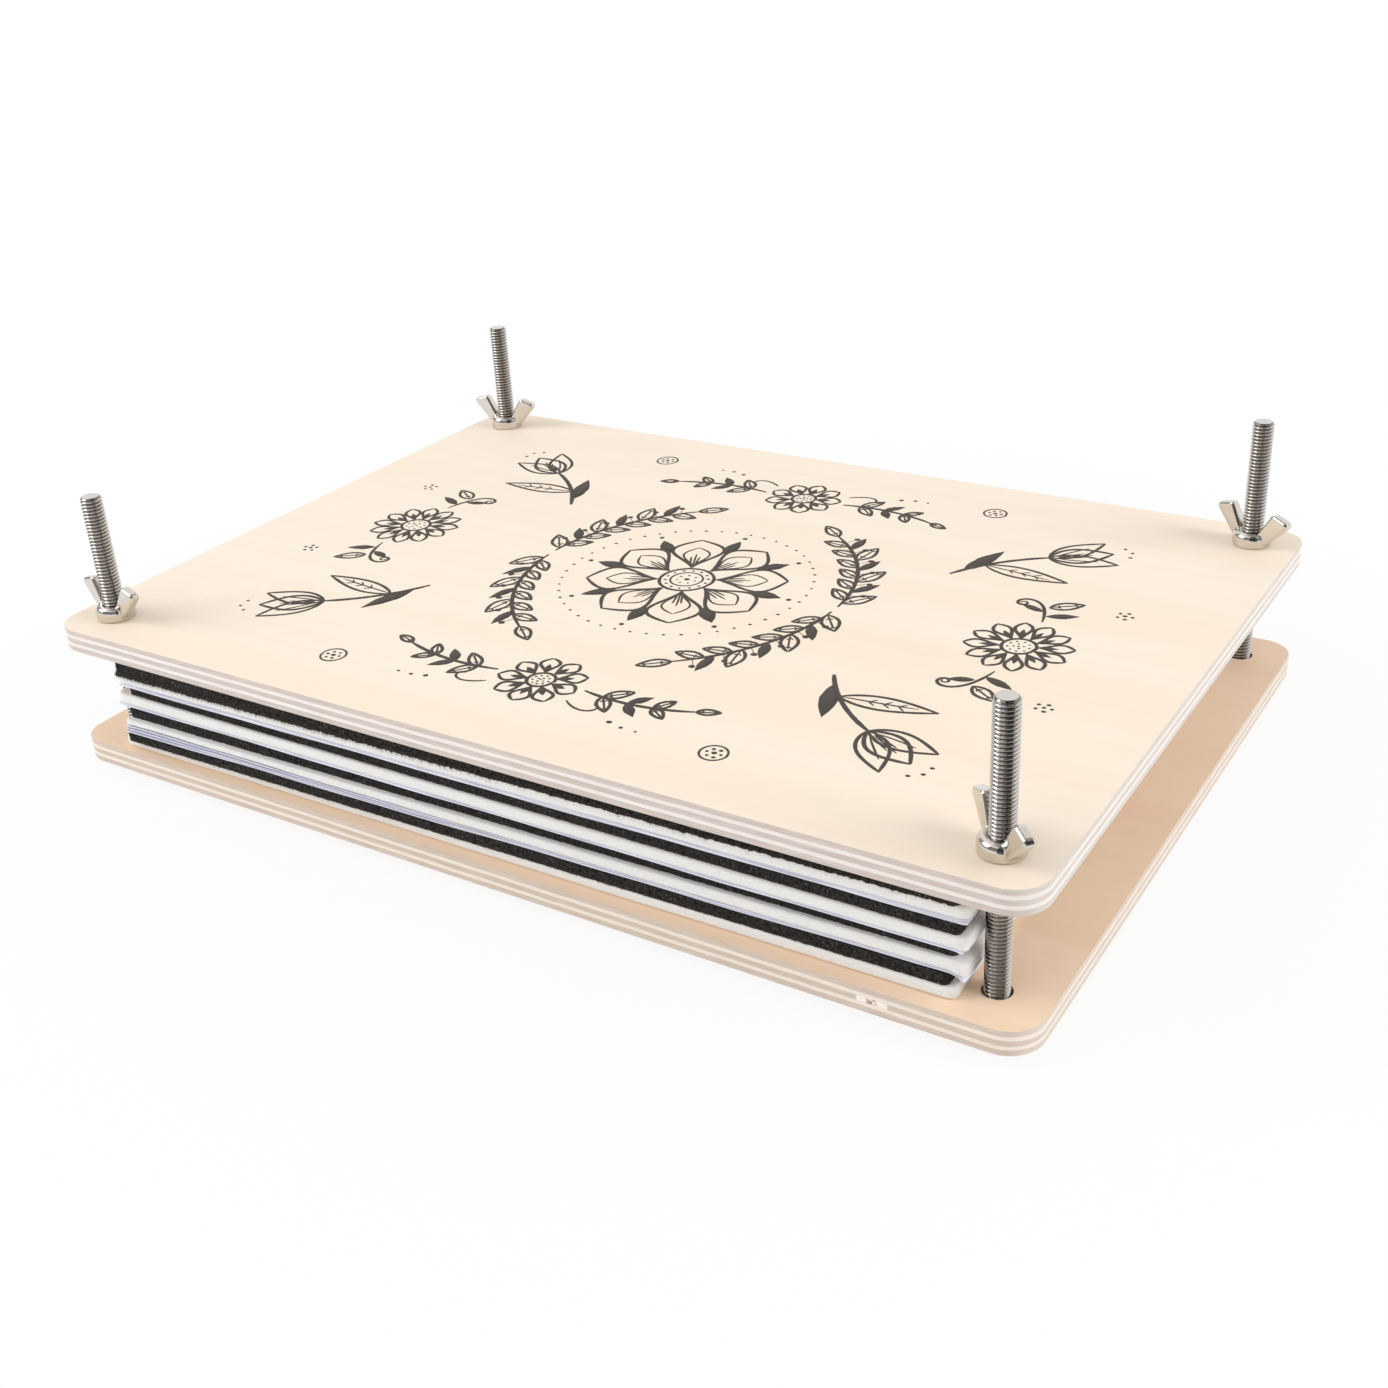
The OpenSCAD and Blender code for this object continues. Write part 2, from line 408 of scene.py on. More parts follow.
def front_wall(tree):
    """1 where a ray meets the dark wall in front of the press."""
    ahead = nearness(tree, FRONT_WALL, 0)
    height = nearness(tree, 0, 90)
    over_foot = tree.step(height, *WALL_FOOT)
    under_top = 1 - tree.step(height, *WALL_TOP)
    return over_foot * under_top * tree.step(ahead, *WALL_SIDE)


def make_world(strength):
    """Even light from all round. Polished metal sees a white studio with a dark ceiling and two walls."""
    world = bpy.data.worlds.new("studio")
    world.use_nodes = True
    bpy.context.scene.world = world
    tree = Tree(world.node_tree)
    mirrored = tree.node("ShaderNodeLightPath", {}, {}, "Is Glossy Ray")
    dark = tree.most(zone(tree, *DARK_CEILING) * CEILING_WEIGHT, zone(tree, *GREY_WALL) * GREY_WALL_WEIGHT)
    dark = tree.most(dark, front_wall(tree) * FRONT_WALL_WEIGHT)
    room = tree.node("ShaderNodeBackground", {}, {"Color": (1, 1, 1, 1), "Strength": strength})
    white = tree.node("ShaderNodeBackground", {}, {"Color": (1, 1, 1, 1), "Strength": 1 - mirrored * dark})
    both = tree.node("ShaderNodeMixShader", {}, {0: shown_to_eye(tree), 1: room, 2: white})
    tree.node("ShaderNodeOutputWorld", {}, {"Surface": both})


def make_dark_card():
    """A card behind the camera that polished metal mirrors, and that nothing else sees."""
    bm = bmesh.new()
    bm.faces.new([bm.verts.new((end.x, end.y, z)) for end, z in (
        (CARD_LEFT, 0), (CARD_RIGHT, 0), (CARD_RIGHT, CARD_TOP), (CARD_LEFT, CARD_TOP))])
    mesh = new_mesh(bm, "dark_card")
    finish = Finish("card_black", Roughness=1.0, Base_Color=(0.02, 0.02, 0.02, 1), Specular_IOR_Level=0.0)
    along = (CARD_RIGHT - CARD_LEFT).normalized()
    place = finish.vectors("DOT_PRODUCT", finish.place, along.to_3d(), "Value")
    x, y, z = finish.axes(finish.place)
    solid = finish.band(place, CARD_LEFT.dot(along) + CARD_FADE, CARD_RIGHT.dot(along) - CARD_FADE,
                        CARD_FADE)
    solid = solid * (1 - finish.step(z, CARD_TOP * CARD_FULL_SHARE, CARD_TOP)) * CARD_WEIGHT
    black = Value(finish, finish.shader.outputs[0])
    clear = finish.node("ShaderNodeBsdfTransparent", {}, {})
    finish.cover(finish.node("ShaderNodeMixShader", {}, {0: solid, 1: clear, 2: black}))
    card = piece("dark_card", mesh, finish)
    card.visible_camera = False
    card.visible_diffuse = False
    card.visible_transmission = False
    card.visible_shadow = False


def make_floor(size, below, near_glow, fade):
    """A white floor that keeps a share of the object's shadow near the object."""
    bm = bmesh.new()
    bmesh.ops.create_grid(bm, x_segments=2, y_segments=2, size=size)
    bmesh.ops.translate(bm, verts=bm.verts, vec=(0, 0, -below))
    mesh = new_mesh(bm, "floor")
    finish = Finish("floor_white", Roughness=1.0, Base_Color=(0.9, 0.9, 0.9, 1), Specular_IOR_Level=0.0)
    away = finish.node("ShaderNodeVectorMath", {"operation": "LENGTH"}, {0: finish.place}, "Value")
    glow = near_glow + finish.step(away, *fade) * (1 - near_glow)
    lit = Value(finish, finish.shader.outputs[0])
    white = finish.node("ShaderNodeEmission", {}, {"Color": (1, 1, 1, 1), "Strength": 1.0})
    finish.cover(finish.node("ShaderNodeMixShader", {}, {0: shown_to_eye(finish) * glow, 1: lit, 2: white}))
    piece("floor", mesh, finish)


def make_lamp(name, place, size, power, mirrored=True):
    """A soft square lamp that looks at the middle of the press, and that metal mirrors or not."""
    data = bpy.data.lights.new(name, "AREA")
    data.shape = "SQUARE"
    data.size = size
    data.energy = power
    lamp = bpy.data.objects.new(name, data)
    bpy.context.scene.collection.objects.link(lamp)
    lamp.location = place
    lamp.rotation_euler = Vector(place).to_track_quat("Z", "Y").to_euler()
    lamp.visible_glossy = mirrored


# Finishes

# The depths, as shares of a board's thickness, between which the two pale plies lie, and their soft edge
PLY_LINES = (0.225, 0.38, 0.6, 0.755)
PLY_SOFT = 0.018
# The plies look paler this near the two short edges
PALE_END = 7 * MM
# How far past the start of a flaw its knot begins and ends
KNOT = (2.4 * MM, 5.0 * MM)


def plywood(name, node, face, cut, flaw=None):
    """Pale plywood: faint grain on the faces, and the plies' lines on every cut edge. A flaw is a pale
    patch with a knot in the middle ply of the front edge, between two x."""
    low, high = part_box(node)
    finish = Finish(name, Specular_IOR_Level=0.35)
    x, y, z = finish.axes(finish.place)
    drift = finish.streaks(14, 14, 14, 1.0) - 0.5
    ripple = finish.streaks(120, 120, 120, 1.0) - 0.5
    depth = (high.z - z) / (high.z - low.z) + drift * 0.05 + ripple * 0.03
    upper_pale = finish.band(depth, PLY_LINES[0], PLY_LINES[1], PLY_SOFT)
    lower_pale = finish.band(depth, PLY_LINES[2], PLY_LINES[3], PLY_SOFT)
    half = (high.z - low.z) / 2
    on_edge = 1 - finish.step(abs(z - (low.z + high.z) / 2), half - 0.03 * MM, half - 0.01 * MM)
    streaks = finish.streaks(55, 55, 3600, 4.0, 0.75)
    fine = finish.streaks(240, 240, 9000, 2.0, 0.6)
    pores = finish.streaks(1500, 1500, 2500, 2.0, 0.6)
    spread = finish.ramp(streaks * 0.65 + fine * 0.35, 0.3, 0.7)
    cut_dark = finish.mix(spread, cut[0], cut[1])
    cut_pale = finish.mix(spread, cut[2], cut[3])
    edge = finish.mix(finish.most(upper_pale, lower_pale), cut_dark, cut_pale)
    edge = finish.mix(finish.step(abs(x), high.x - PALE_END, high.x - 1 * MM) * 0.2, edge, cut[3])
    if flaw:
        hole = finish.band(x, flaw[0], flaw[1], 0.3 * MM) * (1 - finish.step(y, low.y, low.y + 1 * MM))
        hole = hole * finish.band(depth, PLY_LINES[1], PLY_LINES[2], PLY_SOFT)
        edge = finish.mix(hole, edge, cut[3])
        knot = finish.band(x, flaw[0] + KNOT[0], flaw[0] + KNOT[1], 0.4 * MM)
        knot = knot * finish.step(pores, 0.4, 0.56)
        edge = finish.mix(hole * knot * 0.85, edge, srgb(146, 98, 78))
    edge = finish.mix(finish.step(pores, 0.62, 0.8) * 0.25, edge, srgb(170, 140, 115))
    grain = finish.streaks(7, 260, 20, 4.0, 0.6)
    bands = finish.streaks(2.5, 34, 5, 2.0)
    blush = finish.streaks(12, 30, 12, 3.0, 0.6)
    wood = finish.mix(finish.step(grain, 0.42, 0.75) * 0.22, face[0], face[1])
    wood = finish.mix(finish.step(bands, 0.45, 0.7) * 0.35, wood, face[1])
    wood = finish.mix(finish.step(blush, 0.55, 0.75) * 0.4, wood, face[2])
    finish.set(Base_Color=finish.mix(on_edge, wood, edge))
    finish.set(Roughness=0.5 + streaks * 0.2)
    finish.bump(streaks * on_edge * 0.6 + grain * 0.25, 0.08 * MM)
    return finish


def steel(name, dark, pale, grime_and_shade=0.0):
    """Polished steel between two tones, with grime and painted shade darkening the roots of the thread."""
    finish = Finish(name, Metallic=1.0)
    rub = finish.noise(finish.place, 900, 3.0, 0.6)
    haze = finish.noise(finish.place, 120, 2.0)
    colour = finish.mix(haze, dark, pale)
    if grime_and_shade:
        low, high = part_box("bolt_front_right")
        x, y, z = finish.axes(finish.place)
        away_x = abs(x) - (low.x + high.x) / 2
        away_y = abs(y) + (low.y + high.y) / 2
        away = finish.math("SQRT", away_x * away_x + away_y * away_y)
        root = 1 - finish.step(away, THREAD["Root radius"], THREAD["Crest radius"])
        in_thread = finish.step(z, HEAD_H, HEAD_H + NECK_L) * finish.step(away, *ROOT_DARKENING_FROM)
        # Darkens the thread's roots: partly grime, partly painted shade for the shadow the crests cast into
        # them
        colour = finish.mix(root * in_thread * grime_and_shade, colour, srgb(52, 46, 44))
    finish.set(Base_Color=colour)
    finish.set(Roughness=0.05 + rub * 0.07 + haze * 0.04)
    finish.bump(rub, 0.004 * MM, 0.5)
    return finish


def foam():
    """Black open-cell foam: a painted shadow darkens its top edge, and it is dusty and brown along its lower
    one.
    """
    finish = Finish("foam_black", Specular_IOR_Level=0.2)
    level = finish.node("ShaderNodeAttribute", {"attribute_name": "level"}, {}, "Fac")
    pores = finish.cells(finish.place, 1000)
    grit = finish.noise(finish.place, 1500, 4.0, 0.8)
    dust = finish.step(grit, 0.57, 0.68) * 0.85
    cell = finish.mix(finish.step(pores, 0.1, 0.6), srgb(12, 11, 11), srgb(44, 42, 41))
    body = finish.mix(dust, cell, srgb(122, 116, 111))
    # Painted shadow along the top edge, where the paper lying on the foam overhangs it
    body = finish.mix(finish.step(level, 0.86, 0.96) * 0.85, body, srgb(14, 13, 13))
    brown = (1 - finish.step(level, 0.05, 0.22)) * (0.3 + grit * 0.6)
    finish.set(Base_Color=finish.mix(brown, body, srgb(72, 60, 52)))
    finish.set(Roughness=0.85 + grit * 0.15)
    finish.bump(pores * 0.7 + grit * 0.5, 0.16 * MM)
    return finish


def felt():
    """White pressed felt."""
    finish = Finish("felt_white", Specular_IOR_Level=0.2, Sheen_Weight=0.15, Sheen_Roughness=0.5)
    hairs = finish.streaks(900, 900, 2200, 4.0, 0.7)
    clumps = finish.noise(finish.place, 130, 2.0)
    base = finish.mix(hairs, srgb(220, 219, 216), srgb(246, 245, 243))
    finish.set(Base_Color=finish.mix(finish.step(clumps, 0.5, 0.75) * 0.35, base, srgb(237, 231, 221)))
    finish.set(Roughness=0.9 + hairs * 0.1)
    finish.bump(hairs, 0.12 * MM)
    return finish


def paper():
    """Thin lavender-white paper."""
    finish = Finish("paper_white", Specular_IOR_Level=0.3)
    fibres = finish.noise(finish.place, 700, 4.0, 0.7)
    edge = finish.streaks(50, 50, 9000, 2.0)
    sheet = finish.mix(finish.step(edge, 0.35, 0.65), srgb(216, 217, 232), srgb(243, 244, 252))
    finish.set(Base_Color=finish.mix(fibres * 0.2, sheet, srgb(226, 226, 238)))
    finish.set(Roughness=0.7 + fibres * 0.2)
    finish.bump(fibres, 0.02 * MM)
    return finish


def ink():
    """Charcoal printing ink that has sunk into the wood."""
    finish = Finish("ink_charcoal", Specular_IOR_Level=0.3)
    wear = finish.noise(finish.place, 1400, 3.0, 0.7)
    patch = finish.noise(finish.place, 60, 2.0)
    finish.set(Base_Color=finish.mix(finish.step(wear, 0.45, 0.8) * 0.4 + patch * 0.2,
                                     srgb(70, 64, 59), srgb(122, 112, 103)))
    finish.set(Roughness=0.6 + wear * 0.2)
    return finish


# Boards

ARRIS = 0.15 * MM


def make_board(node, finish):
    """The CAD board with its edges eased."""
    mesh = merged_copy(node)
    bm = opened(mesh)
    bmesh.ops.dissolve_limit(bm, angle_limit=math.radians(1), verts=bm.verts, edges=bm.edges)
    sharp = [e for e in bm.edges if e.is_manifold and e.calc_face_angle(0.0) > math.radians(40)]
    bmesh.ops.bevel(bm, geom=sharp, offset=ARRIS, segments=2, profile=0.5, affect="EDGES")
    bmesh.ops.triangulate(bm, faces=bm.faces)
    closed(bm, mesh)
    shade(mesh, 20)
    board = piece(node + "_wood", mesh, finish)
    settle(board, node if node == "top_board" else "base", node)


# Bolts and wing nuts

# Grime and painted shade in the thread's roots begin between these radii, so that a bolt's end face stays
# clean
ROOT_DARKENING_FROM = (2.3 * MM, 2.38 * MM)
THREAD = {
    "Pitch": 1.0 * MM,
    "Crest radius": 3.0 * MM,
    "Root radius": 2.39 * MM,
    "End radius": 2.35 * MM,
}
# Half of the flat on a crest or in a root, as a share of the pitch
HALF_FLAT_SHARE = 1 / 16
RINGS_PER_TURN = 8
THREAD_SIDES = 64
# Turns of the rolled sheet past the shank's two ends, where it draws in, and those of them at the foot
CLOSING_TURNS = 3
FOOT_TURNS = 2
HEAD_H = 3.4 * MM
HEAD_RIM = 0.6 * MM
HEAD_R = 8.0 * MM
CROWN_R = 3.0 * MM
NECK_HALF = 3.15 * MM
NECK_L = 4.1 * MM


def thread_pattern(finish, foot, tip):
    """A right-handed screw thread: a sheet rolled up so that its seam is one turn further along."""
    pattern = Pattern("screw_thread", dict(THREAD, Foot=foot, Tip=tip))
    size = pattern.size
    pitch = size("Pitch")
    turns = round((tip - foot) / THREAD["Pitch"]) + CLOSING_TURNS
    sheet = pattern.node("GeometryNodeMeshGrid", {}, {
        "Size X": 1.0, "Size Y": 1.0, "Vertices X": THREAD_SIDES + 1,
        "Vertices Y": turns * RINGS_PER_TURN + 1})
    across, along, flat = pattern.axes(pattern.place())
    turn = across + 0.5
    wound = (along + 0.5) * turns
    from_crest = abs(pattern.part(wound + 0.5 - HALF_FLAT_SHARE) - 0.5)
    ridge = 1 - pattern.ramp(from_crest, HALF_FLAT_SHARE, 0.5 - HALF_FLAT_SHARE)
    height = size("Foot") + (wound + turn - FOOT_TURNS) * pitch
    past_tip = (height - size("Tip")) / pitch
    short_of_foot = (size("Foot") - height) / pitch
    root = size("Root radius")
    thread = root + ridge * (size("Crest radius") - root)
    point = size("End radius") + pattern.most(size("Tip") - height, 0)
    radius = pattern.least(thread, point)
    radius = radius * (1 - pattern.ramp(past_tip, 1 / RINGS_PER_TURN, 1 + 1 / RINGS_PER_TURN))
    radius = radius * (1 - pattern.ramp(short_of_foot, 0, 1))
    angle = turn * (2 * math.pi)
    level = pattern.least(pattern.most(height, size("Foot")), size("Tip"))
    x = radius * pattern.math("COSINE", angle)
    y = radius * pattern.math("SINE", angle)
    there = pattern.vector(x, y, level)
    rolled = pattern.node("GeometryNodeSetPosition", {}, {"Geometry": sheet, "Position": there})
    welded = pattern.node("GeometryNodeMergeByDistance", {}, {"Geometry": rolled, "Distance": 0.002 * MM})
    pattern.finish(welded, finish)
    return pattern


def add_head(bm):
    """The domed head and the square neck of a carriage bolt."""
    cap = HEAD_H - HEAD_RIM
    centre = (HEAD_R ** 2 + cap ** 2 - CROWN_R ** 2) / (2 * cap)
    ball = math.hypot(CROWN_R, centre)
    profile = [(0.0, 0.0)]
    steps = 16
    for k in range(steps + 1):
        r = CROWN_R + (HEAD_R - CROWN_R) * k / steps
        profile.append((r, centre - math.sqrt(ball ** 2 - r ** 2)))
    ease = 0.12 * MM
    profile += [(HEAD_R, HEAD_H - ease), (HEAD_R - ease, HEAD_H), (0.0, HEAD_H)]
    lathe(bm, profile, 64)
    neck = bmesh.ops.create_cube(bm, size=1.0)["verts"]
    bmesh.ops.scale(bm, verts=neck, vec=(2 * NECK_HALF, 2 * NECK_HALF, NECK_L))
    bmesh.ops.translate(bm, verts=neck, vec=(0, 0, HEAD_H + NECK_L / 2))


def lathe(bm, profile, sides):
    """Turns a half outline of (radius, height) about the Z axis."""
    rings = []
    for r, z in profile:
        if r < 1e-9:
            rings.append([bm.verts.new((0, 0, z))])
        else:
            rings.append([bm.verts.new((r * math.cos(a), r * math.sin(a), z))
                          for a in (2 * math.pi * k / sides for k in range(sides))])
    skin(bm, rings)


def make_bolts(finish):
    low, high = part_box("bolt_" + CORNERS[0])
    turns = math.ceil((high.z - HEAD_H - NECK_L) / THREAD["Pitch"])
    pattern = thread_pattern(finish, high.z - turns * THREAD["Pitch"], high.z)
    shank = pattern.make("shank", bpy.data.meshes.new("start"))
    for corner in CORNERS:
        low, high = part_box("bolt_" + corner)
        bm = bmesh.new()
        add_head(bm)
        bm.from_mesh(shank.data)
        bmesh.ops.translate(bm, verts=bm.verts, vec=((low.x + high.x) / 2, (low.y + high.y) / 2, 0))
        mesh = new_mesh(bm, "bolt")
        shade(mesh, 65)
        bolt = piece("threaded_bolt_" + corner, mesh, finish)
        settle(bolt, "base", "bolt_" + corner)
    bpy.data.objects.remove(shank)


def make_wing_nuts(finish, grain=0.14 * MM, rounds=7):
    """The CAD nuts with every edge and corner melted soft, as forged ones are."""
    for corner in CORNERS:
        node = "wing_nut_" + corner
        start = piece("start", merged_copy(node))
        remesh = start.modifiers.new("remesh", "REMESH")
        remesh.mode = "VOXEL"
        remesh.voxel_size = grain
        mesh = baked(start)
        bm = opened(mesh)
        for _ in range(rounds):
            bmesh.ops.smooth_vert(bm, verts=bm.verts, factor=0.5, use_axis_x=True, use_axis_y=True,
                                  use_axis_z=True)
        for face in bm.faces:
            face.smooth = True
        closed(bm, mesh)
        nut = piece("forged_wing_nut_" + corner, mesh, finish)
        settle(nut, node, node)


# Felt, foam and paper

def hull_of(points):
    """The corners of the outline round a set of flat points, anticlockwise."""
    flat = [Vector((float(x), float(y))) for x, y in points]
    ring = [flat[k] for k in convex_hull_2d(flat)]
    turned = sum(a.cross(b) for a, b in zip(ring, ring[1:] + ring[:1]))
    return ring if turned > 0 else ring[::-1]


def evenly(ring, spacing):
    """Points at even distances along a closed ring."""
    lengths = [(b - a).length for a, b in zip(ring, ring[1:] + ring[:1])]
    total = sum(lengths)
    count = round(total / spacing)
    points = []
    side = 0
    walked = 0.0
    for k in range(count):
        while walked + lengths[side] < total * k / count:
            walked += lengths[side]
            side += 1
        share = (total * k / count - walked) / lengths[side]
        points.append(ring[side].lerp(ring[(side + 1) % len(ring)], share))
    return points


def slab(outline, low_z, high_z, rings, ease, insets):
    """A flat sheet with a finely divided rim, eased edges and loops at some distances inside its rim."""
    bm = bmesh.new()
    count = len(outline)
    middle = sum(outline, Vector((0, 0))) / count
    half = Vector((max(p.x for p in outline) - middle.x, max(p.y for p in outline) - middle.y))
    inward = []
    for k in range(count):
        along = (outline[(k + 1) % count] - outline[k - 1]).normalized()
        inward.append(Vector((-along.y, along.x)))

    def inner_loop(inset, z):
        return [bm.verts.new((middle.x + (p.x - middle.x) * (1 - inset / half.x),
                              middle.y + (p.y - middle.y) * (1 - inset / half.y), z)) for p in outline]

    loops = [inner_loop(inset, low_z) for inset in reversed(insets)]
    for k in range(rings + 1):
        z = low_z + (high_z - low_z) * k / rings
        edge = min(z - low_z, high_z - z)
        drawn = ease * (1 - math.sqrt(max(0.0, 1 - (1 - min(edge / ease, 1)) ** 2)))
        loops.append([bm.verts.new((p.x + n.x * drawn, p.y + n.y * drawn, z))
                      for p, n in zip(outline, inward)])
    loops += [inner_loop(inset, high_z) for inset in insets]
    skin(bm, loops)
    bm.faces.new(list(reversed(loops[0])))
    bm.faces.new(loops[-1])
    return new_mesh(bm, "slab")


def hang(mesh, carrier, depths, phase, reach=4 * MM):
    """Lets both ends of a sheet droop past the ends of the node that carries it."""
    low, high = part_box(carrier)
    for v in mesh.vertices:
        past = max(low.x - v.co.x, v.co.x - high.x, 0.0)
        depth = depths[0] if v.co.x < 0 else depths[1]
        unevenness = 1 + 0.2 * math.sin(v.co.y * 45 + phase) + 0.1 * math.sin(v.co.y * 130 + 2 * phase)
        v.co.z -= depth * unevenness * min(past / reach, 1.0) ** 2


def soft_pattern(name, finish, sizes, seed):
    """Roughens the rim of a sheet, and sets short fibres along it, most of all on its lower edge."""
    pattern = Pattern(name, sizes)
    size = pattern.size
    x, y, z = pattern.axes(pattern.place())
    level = pattern.ramp(z, size("Low"), size("High"))
    kept = pattern.node("GeometryNodeStoreNamedAttribute", {"data_type": "FLOAT", "domain": "POINT"},
                        {"Geometry": pattern.geometry, "Name": "level", "Value": level})
    rim = pattern.node("GeometryNodeInputNormal", {}, {})
    nx, ny, nz = pattern.axes(rim)
    side = pattern.step(pattern.math("SQRT", nx * nx + ny * ny), 0.25, 0.6)
    waves = pattern.noise(pattern.place(), size("Wave scale"), 1.0) - 0.5
    grit = pattern.noise(pattern.place(), size("Grit scale"), 2.0, 0.7) - 0.5
    pits = pattern.cells(pattern.place(), size("Pit scale"))
    low_edge = 1 - pattern.step(level, 0.0, 0.3)
    push = waves * size("Wave") + grit * size("Grit") - (0.5 - pits) * size("Pit")
    push = push + low_edge * size("Bulge")
    sag = low_edge * side * size("Sag") * (grit * 2 + 1)
    offset = pattern.vector(nx * push * side, ny * push * side, sag * -1)
    moved = pattern.node("GeometryNodeSetPosition", {}, {"Geometry": kept, "Offset": offset})
    at_ends = pattern.step(abs(x), size("End"), size("End") + 2 * MM)
    thicker = low_edge * size("Fringe") + at_ends * size("End tuft")
    spots = pattern.node("GeometryNodeDistributePointsOnFaces", {"distribute_method": "RANDOM"}, {
        "Mesh": moved, "Density": size("Fibres") * (1 + thicker), "Seed": seed,
        "Selection": pattern.math("GREATER_THAN", side, 0.5)})
    hair = pattern.node("GeometryNodeMeshCone", {}, {
        "Vertices": 3, "Radius Top": 0.0, "Radius Bottom": size("Fibre radius"),
        "Depth": size("Fibre length")})
    tilt = pattern.node("FunctionNodeRandomValue", {"data_type": "FLOAT_VECTOR"}, {
        0: (-1.0, -1.0, -1.0), 1: (1.0, 1.0, 1.0), 8: seed + 1})
    drop = pattern.vector(0, 0, low_edge * size("Drop") * -1)
    aim = pattern.vectors("ADD", pattern.other(spots, "Normal"), pattern.vectors("ADD", tilt, drop))
    turned = pattern.node("FunctionNodeAlignRotationToVector", {"axis": "Z"}, {"Vector": aim})
    scale = pattern.node("FunctionNodeRandomValue", {"data_type": "FLOAT"}, {
        2: LEAST_FIBRE, 3: 1.0, 8: seed + 2}, 1)
    hairs = pattern.node("GeometryNodeInstanceOnPoints", {}, {
        "Points": spots, "Instance": hair, "Rotation": turned, "Scale": pattern.vector(scale, scale, scale)})
    pattern.finish(pattern.join(moved, hairs), finish)
    return pattern


FOAM_SIZES = {
    "Low": 0.0, "High": 1.0, "End": 1.0,
    "Wave scale": 60.0, "Wave": 0.3 * MM,
    "Grit scale": 1100.0, "Grit": 0.45 * MM,
    "Pit scale": 800.0, "Pit": 0.4 * MM,
    "Sag": 0.15 * MM, "Bulge": 0.0,
    "Fibres": 1500000.0, "Fringe": 4.0, "End tuft": 0.0, "Drop": 1.6,
    "Fibre radius": 0.035 * MM, "Fibre length": 0.7 * MM,
}
FELT_SIZES = {
    "Low": 0.0, "High": 1.0, "End": 127 * MM,
    "Wave scale": 25.0, "Wave": 0.5 * MM,
    "Grit scale": 500.0, "Grit": 0.2 * MM,
    "Pit scale": 300.0, "Pit": 0.0,
    "Sag": 0.0, "Bulge": 0.0,
    "Fibres": 800000.0, "Fringe": 0.0, "End tuft": 3.0, "Drop": 0.0,
    "Fibre radius": 0.018 * MM, "Fibre length": 0.9 * MM,
}
# The size of the smallest fibres, as a share of the largest
LEAST_FIBRE = 0.4
# How far inside a layer's rim its loops of points lie
FELT_INSETS = (0.8 * MM, 2 * MM, 4 * MM, 7 * MM, 12 * MM)
FOAM_INSETS = (0.5 * MM,)
PAPER_INSETS = (1 * MM, 2 * MM, 3.5 * MM, 5 * MM, 7 * MM)
# How far the ends of felt and paper hang
LEFT_DROOP = 0.4 * MM
RIGHT_DROOP = 1.3 * MM
# The front rim of the lowest bundle stands open under the felt above it, and its sheets stand out
FAN_LIFT = 1.5 * MM
FAN_DEPTH = 6 * MM
FAN_REACH = 0.9 * MM
# Between these two x it closes to half of its height
FAN_CLOSES = (-40 * MM, 80 * MM)
# The left front corner of one felt pad peels up
PEEL_LIFT = 1.8 * MM
PEEL_REACH = 3.5 * MM


def near_rim(y):
    """1 at the front rim of the lowest bundle, and 0 further in."""
    inside = (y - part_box(BUNDLES[0])[0].y) / FAN_DEPTH
    return (1 - held(inside)) ** 2


def opening(x, y):
    """How far the lowest bundle stands open at a place."""
    rightward = held((x - FAN_CLOSES[0]) / (FAN_CLOSES[1] - FAN_CLOSES[0]))
    uneven = 1 + 0.12 * math.sin(x * 62 + 1.0) + 0.08 * math.sin(x * 151)
    return FAN_LIFT * near_rim(y) * uneven * (1 - 0.5 * rightward)


def make_room(mesh, node):
    """Presses the underside of a felt pad up, where the bundle under it stands open."""
    low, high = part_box(node)
    for v in mesh.vertices:
        share = held((high.z - v.co.z) / (high.z - low.z))
        v.co.z += opening(v.co.x, v.co.y) * share


def peel(mesh, node):
    """Peels up the left front corner of a felt pad."""
    low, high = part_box(node)
    for v in mesh.vertices:
        past = held((low.x + PEEL_REACH - v.co.x) / PEEL_REACH)
        near = held((low.y + 3 * PEEL_REACH - v.co.y) / PEEL_REACH)
        v.co.z += PEEL_LIFT * past * past * near


def make_soft(node, pattern, word, spacing, rings, ease, insets, sizes=None):
    """Replaces a felt or foam layer by a rough-edged one with the same outline."""
    low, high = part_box(node)
    outline = evenly(hull_of((v.co.x, v.co.y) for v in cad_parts[node].data.vertices), spacing)
    mesh = slab(outline, low.z, high.z, rings, ease, insets)
    sizes = dict(sizes or {}, Low=low.z, High=high.z)
    made = pattern.make(node.replace("_", "-") + word, mesh, sizes)
    settle(made, node, node)
    return made


def make_felts(pattern):
    for number, node in enumerate(FELTS):
        felt_pad = make_soft(node, pattern, "-felt", spacing=0.6 * MM, rings=8, ease=0.6 * MM,
                             insets=FELT_INSETS)
        if number:
            hang(felt_pad.data, SPONGES[number - 1], (LEFT_DROOP, RIGHT_DROOP), number)
        if number == 1:
            make_room(felt_pad.data, node)
        if number == 2:
            peel(felt_pad.data, node)
        shade(felt_pad.data, 60)


def make_sponges(pattern):
    """The sheet under the top board is the most frayed one."""
    frayed = {"Fringe": 7.0, "Fibre length": 1.3 * MM, "Drop": 2.6, "Sag": 0.7 * MM, "Bulge": 0.7 * MM}
    for node in SPONGES:
        sheet = make_soft(node, pattern, "-foam", spacing=0.35 * MM, rings=11, ease=0.12 * MM,
                          insets=FOAM_INSETS, sizes=frayed if node == SPONGES[-1] else None)
        shade(sheet.data, 60)


def sheets_of(node):
    """The lowest and highest z of each sheet in a bundle, and its flat points, from the lowest up."""
    points = np.array([v.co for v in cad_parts[node].data.vertices])
    heights = sorted({round(float(z), 7) for z in points[:, 2]})
    sheets = []
    for low, high in zip(heights[::2], heights[1::2]):
        own = points[(points[:, 2] > low - 1e-6) & (points[:, 2] < high + 1e-6)]
        sheets.append((low, high, own[:, :2]))
    return sheets


